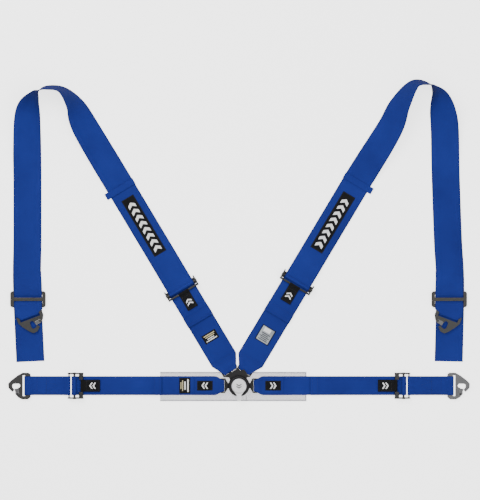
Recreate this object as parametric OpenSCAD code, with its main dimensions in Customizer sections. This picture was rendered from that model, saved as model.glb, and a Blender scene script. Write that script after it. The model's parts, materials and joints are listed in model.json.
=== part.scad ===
// Four-point racing harness with a rotary cam-lock buckle, laid out flat.
// +Z is up. The origin is on the buckle's turning axis, on the underside of the backing sheet.
// Lists with two entries hold the left side first, then the right side.

/* [Webbing] */
// Width of the shoulder webbing
shoulder_w = 76; // [74:1:77]
// Width of the lap webbing
lap_w = 51; // [48:1:52]
// Thickness of the webbing
web_t = 1.8; // [1.6:0.1:1.8]
// Direction of each shoulder strap, in degrees from the lap straps
shoulder_angle = 59.1; // [58:0.1:62]

/* [Buckle] */
// Radius of the buckle's housing
housing_r = 28.5; // [28:0.1:29]
// Radius of the rotary handle's disc
handle_r = 20; // [18:0.5:22]
// Length of the handle's lever, from the turning axis
lever_l = 40; // [36:1:44]
// Length of the clear backing sheet
sheet_l = 395; // [300:5:420]
// Width of the clear backing sheet
sheet_w = 79; // [60:1:82]

/* [Adjusters] */
// Width of a shoulder adjuster
shoulder_adjuster_w = 95; // [94:1:100]
// Width of a lap adjuster
lap_adjuster_w = 72; // [70:1:76]
// Radius of the lock bars
lock_bar_r = 3; // [2.5:0.1:3]

/* [Hooks] */
// Thickness of the hook plates
hook_t = 4; // [3.6:0.1:4]
// Radius of the round end of a hook's eye
eye_r = 5.5; // [5:0.1:5.8]
// Skew of the shoulder hooks on their straps, in degrees
hook_skew = 20.7; // [10:0.1:22]

/* [Hidden] */
$fn = 48;
LEFT = 0;
RIGHT = 1;

// Heights of the layers
gap = 0.3;
sheet_t = 0.6;
web_z = 1.2;
web_top = web_z + web_t;
plate_t = 3;
tongue_z = web_top + gap;
hairpin_in = plate_t / 2 + gap;
hairpin_out = hairpin_in + web_t;
hairpin_z = tongue_z + plate_t / 2;

// Shoulder strap stations, as distances from the buckle's axis along the strap
strap_y = [1.3, 9];
end_s = [43, 38];
end_y = [0, 8];
end_half = [19.5, 17.5];
full_s = [81, 75];
hem_s = [203, 212];
bar_s = [305, 320];
label_s = [502, 508];
keeper_s = [620, 634];
run_end_s = [632, 648];

// Lap strap stations
lap_end_s = 39.5;
lap_end_half = 15.5;
lap_full_s = 62;
lap_bar_s = 443.5;
lap_hem_s = [209, 193];
lap_hook_s = 583.2;

// Buckle
base_t = 2.4;
base_top = sheet_t + base_t;
housing_top = 19;
housing_in = 24;
blade_half = 7;
blade_in = 15;
blade_out = 30;
latch_s = 20;
latch_r = 2.4;
latch_plate_z = 9.5;
latch_plate_t = 2;
shaft_r = 4.9;
screw_r = 25.8;
handle_z = housing_top + 0.5;
handle_t = 7;
screw_spots = [for (a = [30, 150, 240, 300]) a];
spring_spots = [for (a = [210, 270, 330]) a];
// The line that parts the two shoulder tongues
part_x = -5;

// Adjusters
adj_ribbon_z = 6.4;
adj_bar_z = 12;
cheek_t = 3.4;
tab_rod_x = -12;
tab_rod_r = 2;
lap_tail_z = 3.7;
lap_axis_z = 11;

// Hooks
hook_edge_u = -8;
hook_bend_u = -32;
wrap_out = hook_t / 2 + gap + web_t;
lap_hook_z = web_z + web_t + gap;
shoulder_hook_z = web_top + gap + web_t + gap;
slot_half = 28;
gate_pivot = [14, -22.7];
rivet_r = 2;

// Slides
slide_y = 233;
slide_x = [569, 567];
slide_z = 6.4;
slide_t = 3;
top_layer_z = shoulder_hook_z + hook_t + gap;
bend_t = 24;
hook_centre = [[563.6, 183.5], [563.6, 182.8]];

// The rear runs, as [x, y, roll in degrees], in the right side's sense
rear_stations = [
  [[412, 693, 20], [440, 756, 52], [475, 796, 74], [515, 802, 78], [537, 795, 85], [549, 782, 104],
   [568, 735, 147], [571, 647, 167], [571, 555, 180], [571, 393, 180], [572, 271, 180], [563, 65, 180]],
  [[404, 690, 24], [432, 756, 45], [470, 811, 69], [510, 812, 82], [526, 799, 98], [539, 775, 126],
   [549, 735, 154], [555, 687, 170], [558, 563, 180], [564, 393, 180], [570, 271, 180], [566, 65, 180]]];

function unit(v) = v / norm(v);
function dir(a) = [cos(a), sin(a)];

// One corner [x, y, radius] of an outline, rounded between its neighbours p and q
function corner(p, c, q, n) =
  let (here = [c[0], c[1]],
       u = unit([p[0], p[1]] - here),
       v = unit([q[0], q[1]] - here),
       half = acos(u * v) / 2,
       centre = here + unit(u + v) * c[2] / sin(half),
       a = unit(here + u * c[2] / tan(half) - centre),
       b = unit(here + v * c[2] / tan(half) - centre))
  c[2] == 0 ? [here] : [for (i = [0:n]) centre + c[2] * unit(a * (n - i) + b * i)];

// An outline whose corners are rounded
function rounded(c, n = 4) =
  [for (i = [0:len(c) - 1]) each corner(c[(i + len(c) - 1) % len(c)], c[i], c[(i + 1) % len(c)], n)];

// Puts a right-hand shape on either side
module on_side(side) {
  if (side == LEFT) mirror([1, 0, 0]) children();
  else children();
}

// Strap frame of a shoulder strap: x runs away from the buckle, y points at the other strap
module on_shoulder(side) {
  on_side(side) rotate([0, 0, shoulder_angle]) children();
}

// A profile drawn as [x, z], run across the strap for a width centred on y
module across(width, y = 0) {
  translate([0, y + width / 2, 0]) rotate([90, 0, 0]) linear_extrude(width) children();
}

// A slab between two heights
module slab(z0, z1) {
  translate([0, 0, z0]) linear_extrude(z1 - z0) children();
}

// A straight band of webbing
module band(x0, x1, width, z, t = web_t) {
  translate([x0, -width / 2, z]) cube([x1 - x0, width, t]);
}

// ---- buckle ----

module backing_sheet() {
  color([0.85, 0.85, 0.88, 0.6])
    slab(0, sheet_t)
      polygon(rounded([[182 - sheet_l, 37 - sheet_w, 3], [182, 37 - sheet_w, 3], [182, 37, 3],
                       [182 - sheet_l, 37, 3]]));
}

module buckle_base() {
  color([0.08, 0.08, 0.09]) difference() {
    union() {
      translate([0, 0, sheet_t]) cylinder(h = base_t, r = housing_r);
      translate([0, 0, base_top]) cylinder(h = tongue_z + plate_t - base_top, r = 6);
    }
    for (a = screw_spots) rotate([0, 0, a]) translate([screw_r, 0, 0]) {
      translate([0, 0, sheet_t - 1]) cylinder(h = 2.3, r = 2.5);
      cylinder(h = 8, r = 1.4);
    }
  }
}

// The window that a tongue's blade enters
module tongue_window() {
  translate([latch_s - 2, -blade_half - gap, base_top - 1])
    cube([20, 2 * (blade_half + gap), tongue_z + plate_t + gap - base_top + 1]);
}

module buckle_housing() {
  chamfer = 3.5;
  ceiling_z = 16.5;
  color([0.06, 0.06, 0.07]) difference() {
    union() {
      rotate_extrude($fn = 96)
        polygon([[0, base_top], [housing_r, base_top], [housing_r, housing_top - chamfer],
                 [housing_r - 1, housing_top - 2], [housing_r - chamfer, housing_top], [0, housing_top]]);
      // Guard over the shoulder tongues
      slab(9.2, 12)
        polygon(rounded([[-20, 10, 0], [-31, 28, 2], [-24, 37, 2], [-12, 39, 2], [-4, 50, 1.5],
                         [3, 41, 2], [14, 44, 2], [22, 33, 2], [20, 10, 0]]));
    }
    translate([0, 0, base_top - 1]) cylinder(h = ceiling_z - base_top + 1, r = housing_in);
    translate([0, 0, ceiling_z - 1]) cylinder(h = 6, r = shaft_r + 0.05);
    for (a = [0, shoulder_angle, 180 - shoulder_angle, 180]) rotate([0, 0, a]) tongue_window();
    for (a = screw_spots) rotate([0, 0, a]) translate([screw_r, 0, base_top - 1]) cylinder(h = 9.5, r = 1.3);
  }
}

module housing_screws() {
  color([0.6, 0.6, 0.62])
    for (a = screw_spots) rotate([0, 0, a]) translate([screw_r, 0, 0]) difference() {
      union() {
        translate([0, 0, sheet_t + 0.1]) cylinder(h = 1.1, r = 2.4);
        translate([0, 0, sheet_t + 1]) cylinder(h = 9.5, r = 1.25);
      }
      translate([0, 0, sheet_t]) cylinder(h = 0.7, r = 1, $fn = 6);
    }
}

module latch_plate() {
  pin_z = tongue_z + plate_t + gap;
  color([0.5, 0.5, 0.52]) difference() {
    union() {
      translate([0, 0, latch_plate_z]) cylinder(h = latch_plate_t, r = 23);
      for (a = [0, shoulder_angle, 180 - shoulder_angle, 180]) rotate([0, 0, a])
        translate([latch_s, 0, pin_z]) cylinder(h = latch_plate_z - pin_z + 1, r = latch_r);
    }
    translate([0, 0, latch_plate_z - 1]) cylinder(h = latch_plate_t + 2, r = shaft_r + 0.6);
  }
}

module latch_springs() {
  coils = 4;
  pitch = 5 / coils;
  color([0.7, 0.7, 0.72])
    for (a = spring_spots) rotate([0, 0, a]) translate([14, 0, latch_plate_z + latch_plate_t])
      rotate_extrude()
        polygon([[2.2, 0], for (i = [0:coils - 1], p = [[2.6, 0], [3.2, 0.3], [3.2, 0.9], [2.6, pitch]])
                   [p[0], p[1] + i * pitch], [2.2, coils * pitch]]);
}

module cam_rotor() {
  z0 = tongue_z + plate_t + 0.3;
  color([0.62, 0.62, 0.64]) union() {
    translate([0, 0, z0]) cylinder(h = handle_z + 4 - z0, r = shaft_r);
    translate([0, 0, z0]) cylinder(h = 1.4, r = 12);
    for (a = [30:120:270]) rotate([0, 0, a]) translate([10, 0, z0 + 1]) cylinder(h = 1.3, r = 1.6);
  }
}

module handle() {
  lever_half = 6.2;
  lever_t = 4.6;
  color([0.86, 0.86, 0.87]) difference() {
    union() {
      translate([0, 0, handle_z]) rotate_extrude($fn = 96)
        polygon([[0, 0], [handle_r - 0.6, 0], [handle_r, 0.8], [handle_r, 4.6], [handle_r - 1, 6.2],
                 [handle_r - 3, handle_t], [12, handle_t], [11.6, handle_t - 0.5], [9.4, handle_t - 0.5],
                 [9, handle_t], [0, handle_t]]);
      slab(handle_z, handle_z + lever_t)
        polygon(rounded([[-15.5, -12, 0], [-lever_half, -24, 5], [-lever_half, -lever_l, 3],
                         [lever_half, -lever_l, 3], [lever_half, -24, 5], [15.5, -12, 0]]));
    }
    translate([0, 0, handle_z - 1]) cylinder(h = 5.05, r = shaft_r);
  }
}

// ---- tongues and straps at the buckle ----

// A tongue whose head holds a strap end of half width half, centred on y
module tongue(s_end, y, half) {
  s_bar = s_end + hairpin_out;
  head_half = half + 4.2;
  head_end = s_bar + 8;
  slot_gap = 0.6;
  color([0.07, 0.07, 0.08]) difference() {
    union() {
      difference() {
        slab(tongue_z, tongue_z + plate_t)
          polygon(rounded([[blade_in, -blade_half, 2], [blade_out, -blade_half, 0],
                           [s_end - 2, y - head_half, 2], [head_end, y - head_half, 3],
                           [head_end, y + head_half, 3], [s_end - 3, y + head_half, 2],
                           [blade_out, blade_half, 0], [blade_in, blade_half, 2]]));
        translate([s_end - slot_gap, y - half - slot_gap, tongue_z - 1])
          cube([s_bar - s_end + slot_gap, 2 * (half + slot_gap), plate_t + 2]);
      }
      translate([s_bar, y, hairpin_z]) rotate([90, 0, 0])
        cylinder(h = 2 * (half + slot_gap) + 1, r = plate_t / 2, center = true);
    }
    translate([latch_s, 0, tongue_z - 1]) cylinder(h = plate_t + 2, r = latch_r + 0.4);
  }
}

// Side view of a strap end folded round a tongue's bar, with its doubled layer sewn down
module end_profile(s_end, s_double, s_long) {
  s_bar = s_end + hairpin_out;
  s_flat = s_bar + 9;
  s_down = s_flat + 12;
  up = hairpin_z + hairpin_in;
  difference() {
    union() {
      translate([s_bar, hairpin_z]) circle(r = hairpin_out);
      polygon([[s_bar, web_z], [s_long, web_z], [s_long, web_top], [s_double, web_top],
               [s_double, web_top + web_t], [s_down, web_top + web_t], [s_flat, up + web_t],
               [s_bar, up + web_t]]);
    }
    translate([s_bar, hairpin_z]) circle(r = hairpin_in);
    polygon([[s_bar, web_top], [s_down - 2, web_top], [s_flat, up], [s_bar, up]]);
  }
}

module lap_tongue(side) {
  on_side(side) tongue(lap_end_s, 0, lap_end_half);
}

module lap_strap(side) {
  s_long = lap_bar_s - 19;
  color([0.13, 0.25, 0.6]) on_side(side) intersection() {
    across(lap_w + 2) end_profile(lap_end_s, 120, s_long);
    slab(0, 20)
      polygon([[30, -lap_end_half], [lap_end_s + 4, -lap_end_half], [lap_full_s, -lap_w / 2],
               [s_long, -lap_w / 2], [s_long, lap_w / 2], [lap_full_s, lap_w / 2],
               [lap_end_s + 4, lap_end_half], [30, lap_end_half]]);
  }
}

// Keeps each shoulder tongue on its own side of the parting line
module shoulder_tongue(side) {
  room = 0.4;
  split = side == LEFT ? part_x - room : part_x + room;
  reach = 90;
  intersection() {
    on_shoulder(side) tongue(end_s[side], end_y[side], end_half[side]);
    translate([side == LEFT ? split - reach : split, 0, 0]) cube([reach, reach, 20]);
  }
}

module lower_strap(side) {
  y = strap_y[side];
  half = shoulder_w / 2;
  s_long = bar_s[side] + 12;
  neck = end_s[side] + 4;
  neck_half = end_half[side];
  y_end = end_y[side];
  color([0.13, 0.25, 0.6]) on_shoulder(side) union() {
    intersection() {
      across(shoulder_w + 30) end_profile(end_s[side], full_s[side] + 6, s_long - 1);
      slab(0, 20)
        polygon([[30, y_end - neck_half], [neck, y_end - neck_half], [full_s[side], y - half],
                 [s_long, y - half], [s_long, y + half], [full_s[side], y + half],
                 [neck, y_end + neck_half], [30, y_end + neck_half]]);
    }
    // The far end turns up round the adjuster's base plate
    translate([0, y, 0]) across(shoulder_w) difference() {
      union() {
        translate([s_long - 2.5, 3.65]) circle(r = 2.45);
        translate([s_long - 18, web_top + 1.3]) square([15.5, web_t]);
        translate([s_long - 12, web_z]) square([9.5, web_t]);
      }
      translate([s_long - 2.5, 3.65]) circle(r = 0.65);
      translate([s_long - 30, web_top]) square([27.5, 1.3]);
    }
  }
}

// ---- adjusters ----

// Cheek, seen from the side, with the slot for the lock bar
module cheek_profile(x0, x1, bar_z, z0) {
  difference() {
    polygon(rounded([[x0, z0, 1.5], [x1 - 4, z0, 2], [x1, bar_z - 4.5, 1], [x1, bar_z - 2, 1],
                     [8.5, bar_z + 4.2, 3], [x0, bar_z + 4.2, 2]]));
    translate([0, bar_z]) circle(r = lock_bar_r + 0.15);
    translate([2.8, bar_z]) circle(r = lock_bar_r + 0.15);
    translate([0, bar_z - lock_bar_r - 0.15]) square([2.8, 2 * lock_bar_r + 0.3]);
  }
}

// Frame of an adjuster round its lock bar at x = 0: two cheeks, a front bar with a rod for the tab
module adjuster_frame(width, x0, x1, bar_z, rod_x, notch_half, front_x) {
  inner = width / 2 - 1.1 - cheek_t;
  for (s = [-1, 1]) across(cheek_t, s * (inner + cheek_t / 2)) cheek_profile(x0, x1, bar_z, web_z);
  for (s = [-1, 1])
    across(inner - notch_half + 0.5, s * (inner + notch_half + 0.5) / 2)
      polygon(rounded([[x0, bar_z - 2.6, 1], [front_x, bar_z - 2.6, 1], [front_x, bar_z + 2.2, 1],
                       [x0 + 1, bar_z + 2.6, 1]]));
  translate([rod_x, 0, bar_z]) rotate([90, 0, 0])
    cylinder(h = 2 * notch_half + 2, r = tab_rod_r, center = true);
}

module shoulder_adjuster(side) {
  inner = shoulder_adjuster_w / 2 - 1.1 - cheek_t;
  color([0.1, 0.1, 0.1]) on_shoulder(side) translate([bar_s[side], strap_y[side], 0]) union() {
    adjuster_frame(shoulder_adjuster_w, -15, 14, adj_bar_z, tab_rod_x, 17, -9);
    // Base plate that the lower strap is folded round
    translate([-8, -inner - 0.5, web_top + 0.15]) cube([17.3, 2 * inner + 1, 1]);
  }
}

module lap_adjuster(side) {
  inner = lap_adjuster_w / 2 - 1.1 - cheek_t;
  color([0.1, 0.1, 0.1]) on_side(side) translate([lap_bar_s, 0, 0]) union() {
    adjuster_frame(lap_adjuster_w, -24, 18.5, lap_axis_z, -20, 17, -12);
    translate([15, 0, 5.2]) rotate([90, 0, 0]) cylinder(h = 2 * inner + 1, r = 1.8, center = true);
  }
}

// Lock bar: a round bar across the frame with a flange outside each cheek
module lock_bar(width, bar_z) {
  color([0.16, 0.16, 0.17]) translate([0, 0, bar_z]) rotate([90, 0, 0]) union() {
    cylinder(h = width - 1.4, r = lock_bar_r, center = true);
    for (s = [-1, 1]) translate([0, 0, s * (width / 2 - 0.4)]) cylinder(h = 0.8, r = 4, center = true);
  }
}

module shoulder_lock_bar(side) {
  on_shoulder(side) translate([bar_s[side], strap_y[side], 0]) lock_bar(shoulder_adjuster_w, adj_bar_z);
}

module lap_lock_bar(side) {
  on_side(side) translate([lap_bar_s, 0, 0]) lock_bar(lap_adjuster_w, lap_axis_z);
}

// Pull tab: an eye on the rod and a flat tongue of webbing
module pull_tab(length, width) {
  eye_in = tab_rod_r + gap;
  eye_out = eye_in + 1.2;
  color([0.06, 0.06, 0.07]) across(width) difference() {
    union() {
      circle(r = eye_out);
      translate([-length, -eye_out]) square([length, 1.4]);
    }
    circle(r = eye_in);
  }
}

module shoulder_pull_tab(side) {
  on_shoulder(side) translate([bar_s[side] + tab_rod_x, strap_y[side], adj_bar_z]) pull_tab(50, 30);
}

module lap_pull_tab(side) {
  on_side(side) translate([lap_bar_s - 20, 0, lap_axis_z]) pull_tab(49, 32);
}

module lap_tail(side) {
  color([0.13, 0.25, 0.6]) on_side(side) band(lap_hem_s[side], lap_bar_s - 19, lap_w, lap_tail_z);
}

// ---- upper shoulder straps ----

// One straight run: tail, level stretch through the adjuster, and the run up to the turn
module front_run(side) {
  b = bar_s[side];
  low = lap_tail_z;
  color([0.13, 0.25, 0.6]) on_shoulder(side) across(shoulder_w, strap_y[side])
    polygon([[hem_s[side], low], [b - 60, low], [b - 46, adj_ribbon_z], [b + 46, adj_ribbon_z],
             [b + 76, web_z], [run_end_s[side], web_z], [run_end_s[side], web_top], [b + 76.5, web_top],
             [b + 46.5, adj_ribbon_z + web_t], [b - 46.5, adj_ribbon_z + web_t],
             [b - 60.5, low + web_t], [hem_s[side], low + web_t]]);
}

// Catmull-Rom point between b and c
function blend_point(a, b, c, d, t) =
  0.5 * (2 * b + (c - a) * t + (2 * a - 5 * b + 4 * c - d) * t * t + (3 * b - a - 3 * c + d) * t * t * t);
function clamp_index(i, n) = max(0, min(n - 1, i));

// The smooth course through a list of stations
function course(s, steps) =
  let (n = len(s))
  [for (i = [0:n - 2], k = [0:steps - 1])
     blend_point(s[clamp_index(i - 1, n)], s[i], s[i + 1], s[clamp_index(i + 2, n)], k / steps),
   s[n - 1]];

// Corners of the webbing's cross-section at one station: c is [x, y, roll] and d the direction in plan
function section(c, d) =
  let (roll = max(0, min(180, c[2])),
       n = [-d[1], d[0], 0],
       across_v = n * cos(roll) - [0, 0, sin(roll)],
       face_v = n * sin(roll) + [0, 0, cos(roll)],
       z = web_z + web_t / 2 * abs(cos(roll)) + shoulder_w / 2 * sin(roll),
       m = [c[0], c[1], z],
       w = across_v * shoulder_w / 2,
       t = face_v * web_t / 2)
  [m + w - t, m + w + t, m - w + t, m - w - t];

module rear_run(side) {
  // The first station is where the front run ends
  a = shoulder_angle;
  start = run_end_s[side] * dir(a) + strap_y[side] * dir(a + 90);
  before = start - 60 * dir(a);
  full = course(concat([[before[0], before[1], 0], [start[0], start[1], 0]],
                       rear_stations[side]), 4);
  line = [for (i = [4:len(full) - 1]) full[i]];
  n = len(line);
  dirs = [for (i = [0:n - 1])
            i == 0 ? dir(a) : unit([for (k = [0, 1]) line[min(n - 1, i + 1)][k] - line[i - 1][k]])];
  points = [for (i = [0:n - 1]) each section(line[i], dirs[i])];
  faces = concat(
    [[0, 1, 2], [0, 2, 3]],
    [for (i = [0:n - 2], k = [0:3])
       let (p = 4 * i, q = (k + 1) % 4)
       each [[p + k, p + 4 + k, p + 4 + q], [p + k, p + 4 + q, p + q]]],
    [[4 * n - 4, 4 * n - 2, 4 * n - 3], [4 * n - 4, 4 * n - 1, 4 * n - 2]]);
  color([0.13, 0.25, 0.6]) on_side(side) polyhedron(points, faces);
}

module label(side) {
  length = 175;
  width = 37;
  color([0.05, 0.05, 0.06]) on_shoulder(side) translate([label_s[side], strap_y[side], 0])
    band(-length / 2, length / 2, width, web_top, 0.6);
}

// Keeper: a flat sleeve round the strap, wider than it on the outer side
module keeper(side) {
  t = 0.8;
  length = 18;
  inner_side = shoulder_w / 2 + 0.4;
  outer_side = shoulder_w / 2 + 9.5;
  height = web_top + 1.7 - (web_z - gap);
  color([0.1, 0.2, 0.5]) on_shoulder(side) translate([keeper_s[side] - length / 2, strap_y[side], 0])
    difference() {
      translate([0, -outer_side - t, web_z - gap - t]) cube([length, outer_side + inner_side + 2 * t,
                                                             height + 2 * t]);
      translate([-1, -outer_side, web_z - gap]) cube([length + 2, outer_side + inner_side, height]);
    }
}

// ---- slides ----

// Frame of a slide: x runs down the strap, from the slide's centre
module on_slide(side) {
  on_side(side) translate([slide_x[side], slide_y, 0]) rotate([0, 0, -90]) children();
}

module slide(side) {
  half_l = 22;
  half_w = 48;
  slot = 38.6;
  color([0.3, 0.29, 0.27]) on_slide(side) slab(slide_z, slide_z + slide_t) difference() {
    polygon(rounded([[-half_l, -half_w, 7], [half_l, -half_w, 7], [half_l, half_w, 7],
                     [-half_l, half_w, 7]]));
    for (x = [-12.5, 4.5]) translate([x, -slot]) square([8, 2 * slot]);
  }
}

// Webbing woven through the slide: over the top bar, under the middle bar, over the bottom bar
module slide_loop(side) {
  t0 = top_layer_z;
  under = slide_z - gap - web_t;
  x_end = bend_t;
  color([0.13, 0.25, 0.6]) on_slide(side) union() {
    across(shoulder_w) union() {
      polygon([[-46, web_top + gap], [-30, t0], [-11.5, t0], [-6.5, under], [6.5, under], [11.5, t0],
               [x_end, t0], [x_end, t0 + web_t], [10.3, t0 + web_t], [5.2, under + web_t],
               [-5.2, under + web_t], [-10.3, t0 + web_t], [-30.8, t0 + web_t],
               [-46, web_top + gap + web_t]]);
      translate([x_end, t0 + web_t / 2]) circle(r = web_t / 2, $fn = 24);
    }
    band(-10, bend_t - 2, shoulder_w, web_top + gap);
    translate([-6, -shoulder_w / 2, web_top + gap]) cube([12, shoulder_w, under + 1 - web_top - gap]);
  }
}

// ---- hooks ----

// Frame of a hook: u runs from the strap to the tip, v up along the hook's back
module on_lap_hook(side) {
  on_side(side) translate([lap_hook_s, 0, lap_hook_z]) children();
}

module on_shoulder_hook(side) {
  c = hook_centre[side];
  on_side(side) translate([c[0], c[1], shoulder_hook_z])
    rotate([0, 0, -90 - hook_skew]) translate([3, 0, 0]) children();
}

module hook_plate() {
  pocket_t = 2;
  color([0.42, 0.42, 0.43]) union() {
    difference() {
      slab(0, hook_t)
        polygon(rounded([[-21, 31, 4], [-15, 35, 3], [1, 35, 5], [14, 27.5, 12], [30, 15.5, 6],
                         [39.5, 6, 6], [38.5, -6, 6], [28, -17, 1.5], [22.5, -11, 1], [27.5, -5.5, 1],
                         [27.5, -1, 0], [20, -1, 0], [13, -7, 0], [20, -18, 3], [21, -22, 4],
                         [13, -31, 4], [2, -37, 5], [-14, -37, 4], [-21, -31, 4]]));
      // The eye, and the mouth that leads to it
      translate([12.5, 0, -1]) cylinder(h = hook_t + 2, r = eye_r);
      translate([23, -0.5, -1]) cylinder(h = hook_t + 2, r = eye_r);
      translate([12.5, -eye_r, -1]) cube([10.5, 2 * eye_r - 0.2, hook_t + 2]);
      slab(-1, hook_t + 1) polygon([[14, -4], [23, -4], [27, -5], [21, -12], [18, -17], [16, -13]]);
      // The webbing slot
      translate([hook_edge_u, -slot_half, -1]) cube([8.5, 2 * slot_half, hook_t + 2]);
      // The pocket that the gate swings in
      translate([gate_pivot[0], gate_pivot[1], pocket_t]) rotate([0, 0, 62]) linear_extrude(hook_t)
        polygon([[-8, -8], [17.8, -12], [17.8, 14], [14, 16.5], [6, 16.5], [-4, 8], [-8, 8]]);
      translate([gate_pivot[0], gate_pivot[1], -1]) cylinder(h = hook_t + 2, r = rivet_r);
    }
    // Rounded edge of the rear bar
    translate([hook_edge_u, 0, hook_t / 2]) rotate([90, 0, 0])
      cylinder(h = 2 * slot_half + 1, r = hook_t / 2, center = true);
  }
}

// The gate closes the mouth and swings in towards the hook's body
module gate_plate() {
  z0 = 2.3;
  color([0.55, 0.55, 0.56]) difference() {
    slab(z0, hook_t)
      polygon(rounded([[9.5, -26, 4], [18.5, -26, 4], [20, -18, 2], [22.5, -8.5, 1.5], [11.5, -7, 2],
                       [10, -18, 3]]));
    translate([gate_pivot[0], gate_pivot[1], 0]) cylinder(h = hook_t + 2, r = rivet_r + 0.06);
  }
}

module gate_rivet_shape() {
  color([0.2, 0.2, 0.21]) translate([gate_pivot[0], gate_pivot[1], 0]) union() {
    cylinder(h = hook_t + gap, r = rivet_r);
    translate([0, 0, hook_t + gap]) cylinder(h = 0.9, r = 3.2);
  }
}

// Webbing round the hook's rear bar: side view, from the edge of the bar back to u
module hook_wrap_profile(u, z_top, z_low) {
  mid = hook_t / 2;
  difference() {
    union() {
      translate([hook_edge_u, mid]) circle(r = wrap_out);
      polygon([[hook_edge_u, mid - wrap_out], [hook_edge_u, mid + wrap_out], [-23, mid + wrap_out],
               [u, z_top], [u, z_low], [-23, mid - wrap_out]]);
    }
    translate([hook_edge_u, mid]) circle(r = mid + gap);
    polygon([[hook_edge_u, -gap], [hook_edge_u, hook_t + gap], [-22, hook_t + gap], [-26, mid - 2],
             [-22, -gap]]);
  }
}

module lap_hook_wrap(side) {
  z_mid = web_z + web_t - lap_hook_z;
  knuckle = web_t + 0.8;
  color([0.13, 0.25, 0.6]) on_lap_hook(side) across(lap_w) difference() {
    hook_wrap_profile(hook_bend_u, z_mid + web_t, z_mid - web_t);
    translate([hook_bend_u, z_mid]) circle(r = knuckle);
  }
}

// Anchor strap: folded round the adjuster's outer bar, both layers sewn together up to the bend
module lap_anchor_strap(side) {
  bar_x = 15;
  bar_z = 5.2;
  ring_in = 2.1;
  ring_out = ring_in + web_t;
  bend_x = lap_hook_s + hook_bend_u - lap_bar_s;
  mid = web_z + web_t;
  color([0.13, 0.25, 0.6]) on_side(side) translate([lap_bar_s, 0, 0]) across(lap_w) difference() {
    union() {
      translate([bar_x, bar_z]) circle(r = ring_out);
      polygon([[bar_x, bar_z - ring_out], [bend_x, mid - web_t], [bend_x, mid + web_t],
               [bar_x + 20, mid + web_t], [bar_x, bar_z + ring_out]]);
      translate([bend_x, mid]) circle(r = web_t);
    }
    translate([bar_x, bar_z]) circle(r = ring_in);
    polygon([[bar_x, bar_z - ring_in], [bar_x + 14, mid], [bar_x, bar_z + ring_in]]);
  }
}

module shoulder_hook_wrap(side) {
  c = hook_centre[side];
  // The hook's rear edge in the slide's frame
  dx = slide_y - c[1];
  dy = c[0] - slide_x[side];
  half = slot_half - 1;
  full = 15;
  knuckle = web_t / 2 + 0.3;
  low_z = web_top + gap;
  color([0.13, 0.25, 0.6]) difference() {
    union() {
      // Flat layers above and below the rear bar
      on_slide(side) for (z = [low_z, top_layer_z])
        slab(z, z + web_t) difference() {
          translate([dx, dy]) rotate([0, 0, -hook_skew])
            polygon([[-5, -half], [-5, half], [-14, half + full], [-60, half + full], [-60, -half - full],
                     [-14, -half - full]]);
          translate([-100, -100]) square([z == low_z ? 100 + bend_t + 1 : 100 + bend_t, 200]);
          for (s = [-1, 1]) translate([0, s * (shoulder_w / 2 + 50)]) square([200, 100], center = true);
        }
      // The fold round the bar's edge
      on_shoulder_hook(side) across(2 * half) difference() {
        translate([hook_edge_u, hook_t / 2]) circle(r = wrap_out);
        translate([hook_edge_u - 20, -10]) square([20, 30]);
      }
    }
    on_shoulder_hook(side) across(2 * half + 2) translate([hook_edge_u, hook_t / 2])
      circle(r = hook_t / 2 + gap);
    on_slide(side) across(200) translate([bend_t, top_layer_z + web_t / 2]) circle(r = knuckle);
  }
}

module lap_hook(side) {
  on_lap_hook(side) hook_plate();
}

module lap_gate(side) {
  on_lap_hook(side) gate_plate();
}

module lap_gate_rivet(side) {
  on_lap_hook(side) gate_rivet_shape();
}

module shoulder_hook(side) {
  on_shoulder_hook(side) hook_plate();
}

module shoulder_gate(side) {
  on_shoulder_hook(side) gate_plate();
}

module shoulder_gate_rivet(side) {
  on_shoulder_hook(side) gate_rivet_shape();
}

backing_sheet();
buckle_base();
buckle_housing();
housing_screws();
latch_plate();
latch_springs();
cam_rotor();
handle();
lap_tongue(LEFT);  // left_lap_tongue
lap_strap(LEFT);  // left_lap_strap
lap_adjuster(LEFT);  // left_lap_adjuster
lap_lock_bar(LEFT);  // left_lap_lock_bar
lap_tail(LEFT);  // left_lap_tail
lap_pull_tab(LEFT);  // left_lap_pull_tab
lap_anchor_strap(LEFT);  // left_lap_anchor_strap
lap_hook_wrap(LEFT);  // left_lap_hook_wrap
lap_hook(LEFT);  // left_lap_hook
lap_gate(LEFT);  // left_lap_gate
lap_gate_rivet(LEFT);  // left_lap_gate_rivet
lap_tongue(RIGHT);  // right_lap_tongue
lap_strap(RIGHT);  // right_lap_strap
lap_adjuster(RIGHT);  // right_lap_adjuster
lap_lock_bar(RIGHT);  // right_lap_lock_bar
lap_tail(RIGHT);  // right_lap_tail
lap_pull_tab(RIGHT);  // right_lap_pull_tab
lap_anchor_strap(RIGHT);  // right_lap_anchor_strap
lap_hook_wrap(RIGHT);  // right_lap_hook_wrap
lap_hook(RIGHT);  // right_lap_hook
lap_gate(RIGHT);  // right_lap_gate
lap_gate_rivet(RIGHT);  // right_lap_gate_rivet
shoulder_tongue(LEFT);  // left_shoulder_tongue
lower_strap(LEFT);  // left_lower_strap
shoulder_adjuster(LEFT);  // left_shoulder_adjuster
shoulder_lock_bar(LEFT);  // left_shoulder_lock_bar
shoulder_pull_tab(LEFT);  // left_shoulder_pull_tab
front_run(LEFT);  // left_front_run
rear_run(LEFT);  // left_rear_run
label(LEFT);  // left_label
keeper(LEFT);  // left_keeper
slide(LEFT);  // left_slide
slide_loop(LEFT);  // left_slide_loop
shoulder_hook_wrap(LEFT);  // left_shoulder_hook_wrap
shoulder_hook(LEFT);  // left_shoulder_hook
shoulder_gate(LEFT);  // left_shoulder_gate
shoulder_gate_rivet(LEFT);  // left_shoulder_gate_rivet
shoulder_tongue(RIGHT);  // right_shoulder_tongue
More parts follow.
